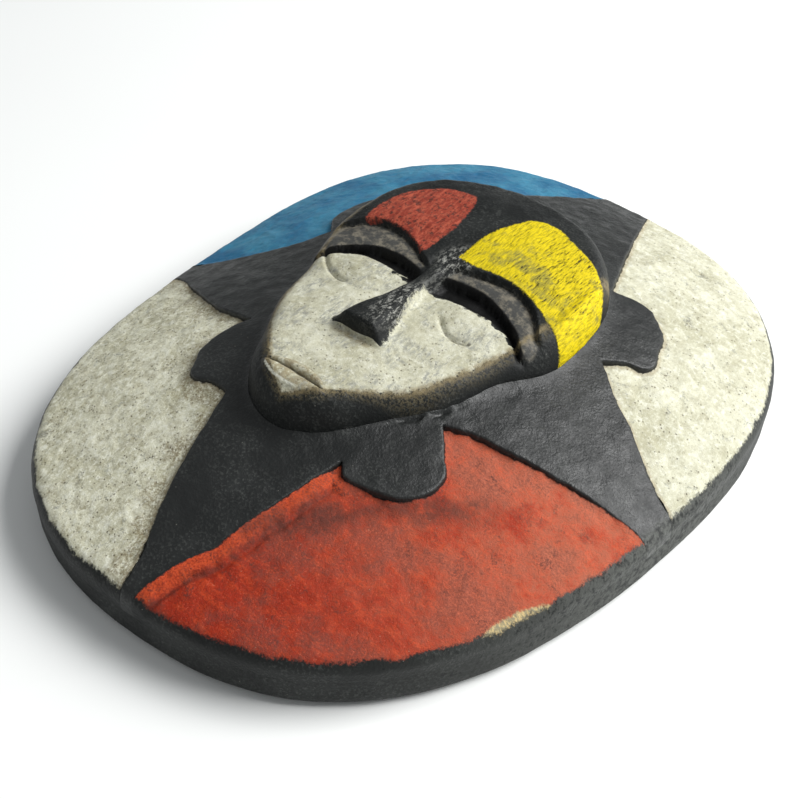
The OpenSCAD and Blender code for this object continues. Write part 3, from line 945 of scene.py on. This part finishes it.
def build_star(edges):
    """The star, whose arms end on the rim, with the face's seat cut into it."""
    ends = [ring_points(rim_radius, *arm) for arm in (CROWN_ARM, LEFT_ARM, CHIN_ARM, RIGHT_ARM)]
    loop = np.vstack([part for pair in zip(edges.values(), ends) for part in pair])

    def height(p):
        near = np.minimum.reduce([distance_to(p, edge, closed=False) for edge in edges.values()])
        return star_height(p, near)

    solid = relief(loop, height, BOARD_TOP, hole=offset_loop(face_line, JOINT_GAP), hole_floor=FACE_SEAT)
    masks = {"lit_edge": lit_edge(solid.co[:, :2])}
    make_object("star_carving", solid, star_paint(), "plaque", "star_relief", masks)


def build_panel(node, edges, coat, slot, seed, *options):
    """One panel, between the star's edge and the rim."""
    start, end = PANELS[node]
    edge = offset(np.vstack([edges[node], [on_rim(end)]]), JOINT_GAP)
    loop = np.vstack([ring_points(rim_radius, start, end), [on_rim(end)], edge[::-1][1:-1]])

    def height(p):
        gap = distance_to(p, edge, closed=False)
        z = panel_height(p, gap, seed)
        if slot == "red_paint":
            z += red_carving(p, gap)
        return z

    solid = relief(loop, height, BOARD_TOP)
    plan = solid.co[:, :2]
    material = panel_paint(node + "_paint", coat, *options)
    seam = distance_to(plan, edge, closed=False)
    masks = {"rim": distance_to(plan, rim_line), "seam": seam, "lit_edge": lit_edge(plan)}
    if slot == "red_paint":
        masks |= {"stain": stain(plan, seam), "chip": chip(plan), "sheen_and_dust": sheen_and_dust(plan)}
        # Where the red gets its painted highlight: the ledge along the chin arm
        masks["ledge"] = beside_chin_arm(plan) * ramp(seam, 5.2, 3.8)
    underside = solid.co[:, 2] < BOARD_TOP + 0.05
    masks["rim"][underside] = 0
    make_object(node + "_board", solid, material, "plaque", node, masks)


STAIN = [(20, -114), (34, -98), (50, -80), (66, -67), (82, -53)]
CHIP = [(97, -94), (97, -88), (98.5, -82.5), (101, -77), (104, -71), (108, -68), (106, -80), (101, -94)]


def stain(p, gap):
    """The dark haze over the red panel's top, from the chin arm to under the lobe, and painted shade in the
    groove at the foot of the ledge.
    """
    off = distance_to(p, line_through(STAIN), closed=False) + 2.0 * rough(p, 12, 84)
    band = 0.9 * bell(off, 5.5) * ramp(p[:, 0], 92, 60)
    # The second term is painted shade in the groove at the ledge's foot
    return np.maximum(band, 0.8 * beside_chin_arm(p) * bell(gap - 5.4, 1.3))


def sheen_and_dust(p):
    """How far the red is paler towards the right arm: partly pale dust, partly painted sheen where the key
    light glances off it.
    """
    return ramp(0.6 * p[:, 0] + 0.8 * p[:, 1], -95, 40)


def chip(p):
    """Depth into the patch at the rim where the red and black are knocked off the wood."""
    return depth_in(p, closed(CHIP))


def beside_chin_arm(p):
    """Where the red panel runs along the chin arm."""
    return ramp(-p[:, 1], 70, 84) * (1 - ramp(p[:, 0], 27, 38))


def red_carving(p, gap):
    """A ledge left standing along the chin arm, and wood split off at the rim."""
    reach = gap + 1.3 * noise(p, 7, 81) + 0.5 * noise(p, 2.5, 83)
    ledge = 1.5 * (1 - ramp(reach, 3.6, 4.8)) - 0.8 * bell(reach - 5.6, 1.3)
    return beside_chin_arm(p) * ledge - 0.8 * ramp(chip(p) + 0.5 * noise(p, 2, 82), -0.3, 1.2)


# The two painted temples, across the face and up it
YELLOW_EDGE = [
    (2, 17), (2.5, 32), (6, 44), (11, 53), (20.5, 55.5), (29, 52), (41, 47), (50, 41), (59, 30), (63.5, 16),
    (64.5, 8), (60.5, 3.5), (53, 6), (44, 11), (35, 15), (26, 16.8), (17, 16), (9, 15), (4, 15.5),
]
RED_EDGE = [
    (-10.5, 10), (-9.5, 24), (-11, 38), (-14.5, 50), (-20, 52), (-28, 50.5), (-37, 45), (-43, 35), (-45, 26),
    (-44, 16), (-35, 18.5), (-25, 17), (-16, 13),
]


def face_masks(co):
    """Values for the face's paint: distances in from the edges of its coats, and shares of wear, painted shade
    and painted highlight.
    """
    p = co[:, :2]
    x, out, y = face_plan(p)
    q = np.stack([x, y], axis=1)
    side = 2.0 * ramp(-x, 0, 12)
    jaw = 0.85 * (along(CREAM_EDGE, np.clip(y, -80, 9)) + side - out) - 1.5 * np.maximum(0, -80 - y)
    brow, lid, foot = (face_line_at(line, x) for line in (BROW, LID, SLIT_FOOT))
    ragged = 2.4 * noise(p, 3.4, 41) + 1.2 * noise(p, 1.4, 42) - 1.2
    width, lap = along(NOSE, np.clip(y, -42, 10)), np.where(x > 0, -1.8, 0.2)
    beside_nose = np.where(y > NOSE_TIP - 1.5, out - width - lap, 9.0)
    upper, parting, lower = lip_lines(x)
    on_lips = 1 - ramp(np.abs(x - LIPS_MID), 11.5, 14)
    lip_tan = on_lips * ramp(y - lower, 1.2, 2.6) * ramp(upper - y, 0, 1)
    lip_cut_shade = on_lips * (bell(y - parting, 0.6) + 0.6 * bell(y - upper, 0.6))
    left_fold_shade = bump(x, y, (30, -16.5), (6.5, 1.3)) * ramp(noise(p, 1.7, 44), -0.3, 0.3)
    return {
        "cream": np.minimum.reduce([jaw, foot - y + ragged, beside_nose]),
        "jaw": jaw,
        "lid": np.minimum.reduce([y - lid, brow - y, out - 5, 52 - out]),
        "slit": np.minimum.reduce([lid + 1.5 - y, y - foot + 2.0, out - 4.5, 49 - out]),
        "red": depth_in(q, closed(RED_EDGE)),
        "yellow": depth_in(q, closed(YELLOW_EDGE)),
        "worn": ramp(x, 16, 30) * (1 - ramp(x, 50, 57)) * ramp(y, 8, 24),
        "dull": 0.22 * bump(x, y, (26, 26), (17, 6)) + 0.16 * bump(x, y, (48, 12), (5, 8)) - 0.1,
        "tan": 1.2 * lip_tan + bump(out, y, (0, -42), (10, 1.6)) + 0.9 * bell(jaw, 1.3),
        # Painted highlight along the lower lip's edge, on its left half
        "light": on_lips * bell(y - lower - 1.5, 0.5) * ramp(x, -16, -12) * (1 - ramp(x, 0, 7)),
        # Painted shade in the lip cuts and the folds under the eyes
        "line": lip_cut_shade + 0.6 * under_eye_fold(x, out, y, 0.7) + left_fold_shade,
        # Wear on the nose's bridge, partly painted light
        "rubbed": bump(x, y, (3, 14), (7, 9)) + 0.9 * bump(x, y, (4, -20), (7, 18)),
    }


def build_face():
    """The face, a block of its own that stands in the star's seat."""
    solid = relief(face_line, face_height, FACE_SEAT + SEAT_GAP, step=FACE_STEP)
    masks = face_masks(solid.co)
    make_object("face_mask", solid, face_paint(), "plaque", "face_carving", masks)


def keep_cad(node, material):
    """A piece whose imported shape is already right: it only gets its material."""
    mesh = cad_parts[node].data
    mesh.materials.clear()
    mesh.materials.append(material)
    shade(mesh, 35)


# ---- stage


def add_floor():
    """A sheet of off-white paper, laid a hair below the plaque."""
    paint = Paint("floor_paper")
    tone = paint.mix(paint.ramp(paint.noise(300, 2), 0.3, 0.7), PAPER, tuple(0.985 * v for v in PAPER))
    half = 6.0
    corners = [(-half, -half, 0), (half, -half, 0), (half, half, 0), (-half, half, 0)]
    mesh = bpy.data.meshes.new("floor")
    mesh.from_pydata(corners, [], [(0, 1, 2, 3)])
    mesh.materials.append(paint.finish(tone, 0.9))
    floor = bpy.data.objects.new("floor", mesh)
    bpy.context.scene.collection.objects.link(floor)
    floor.location.z = -0.0002


def add_light(name, azimuth, elevation, distance, size, power):
    """A square soft light that looks at the plaque. Azimuth is from +X."""
    a, e = math.radians(azimuth), math.radians(elevation)
    data = bpy.data.lights.new(name, "AREA")
    data.energy, data.size = power, size
    light = bpy.data.objects.new(name, data)
    away = Vector((math.cos(a) * math.cos(e), math.sin(a) * math.cos(e), math.sin(e)))
    light.location = away * distance
    light.rotation_mode = "QUATERNION"
    light.rotation_quaternion = away.to_track_quat("Z", "Y")
    bpy.context.scene.collection.objects.link(light)


def add_camera():
    """The camera looks down at the plaque from beyond its chin, to the viewer's right, tilted a little."""
    azimuth, elevation, roll = (math.radians(v) for v in (38.2, 42.24, 1.85))
    distance, aside, above = 0.468, 0.009, 0.0004
    flat = math.cos(elevation)
    back = Vector((math.sin(azimuth) * flat, -math.cos(azimuth) * flat, math.sin(elevation)))
    level = Vector((math.cos(azimuth), math.sin(azimuth), 0))
    steep = back.cross(level)
    right = level * math.cos(roll) + steep * math.sin(roll)
    up = steep * math.cos(roll) - level * math.sin(roll)
    data = bpy.data.cameras.new("camera")
    data.lens, data.sensor_width = 51.8, 36.0
    camera = bpy.data.objects.new("camera", data)
    turn = Matrix((right, up, back)).transposed().to_4x4()
    camera.matrix_world = Matrix.Translation(back * distance - right * aside - up * above) @ turn
    bpy.context.scene.collection.objects.link(camera)
    bpy.context.scene.camera = camera


def add_world():
    world = bpy.data.worlds.new("studio")
    world.use_nodes = True
    sky = world.node_tree.nodes["Background"]
    sky.inputs["Color"].default_value = (0.95, 0.98, 1.0, 1)
    sky.inputs["Strength"].default_value = 0.34
    bpy.context.scene.world = world
    bpy.context.scene.view_settings.view_transform = "Standard"


# ---- the scene

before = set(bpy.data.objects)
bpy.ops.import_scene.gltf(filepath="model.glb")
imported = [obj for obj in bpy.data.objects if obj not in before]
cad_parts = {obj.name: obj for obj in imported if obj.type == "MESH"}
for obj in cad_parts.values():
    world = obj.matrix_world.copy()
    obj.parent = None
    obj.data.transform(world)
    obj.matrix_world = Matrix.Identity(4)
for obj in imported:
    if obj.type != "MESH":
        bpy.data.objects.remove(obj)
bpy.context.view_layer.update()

BOARD_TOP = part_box("star_relief")[0].z / MM
POCKET_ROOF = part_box("hanger_strap")[1].z / MM
face_low, face_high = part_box("face_carving")
FACE_SEAT = face_low.z / MM
FACE_CENTRE = (0, (face_low.y + face_high.y) / 2 / MM)

cad_radius = smooth_radius(radii_of("base_board", (0, 0), low=10, high=20), waves=12)
egg_radius = smooth_radius(radii_of("face_carving", FACE_CENTRE, FACE_SEAT - 1, FACE_SEAT + 1), waves=8)
rim_line = ring_points(rim_radius, 0, 360)
face_line = ring_points(face_radius, 0, 360, FACE_CENTRE)

build_board()
edges = star_edges()
build_star(edges)
build_panel("crown_right_panel", edges, panel_cream, "cream_paint", 101, 0.0)
build_panel("crown_left_panel", edges, blue_coat, "blue_paint", 201)
build_panel("chin_left_panel", edges, panel_cream, "sandy_paint", 301, 1.0)
build_panel("chin_right_panel", edges, red_coat, "red_paint", 401)
build_face()
keep_cad("face_dowels", dowel_wood())
keep_cad("hanger_strap", plated_steel("zinc_strap", (0.58, 0.56, 0.50)))
keep_cad("hanger_ring", plated_steel("zinc_wire", (0.62, 0.61, 0.57)))
keep_cad("hanger_screws", plated_steel("plated_screws", (0.46, 0.45, 0.42)))

add_floor()
add_world()
add_light("key", azimuth=42, elevation=44, distance=1.8, size=1.1, power=48)
add_camera()
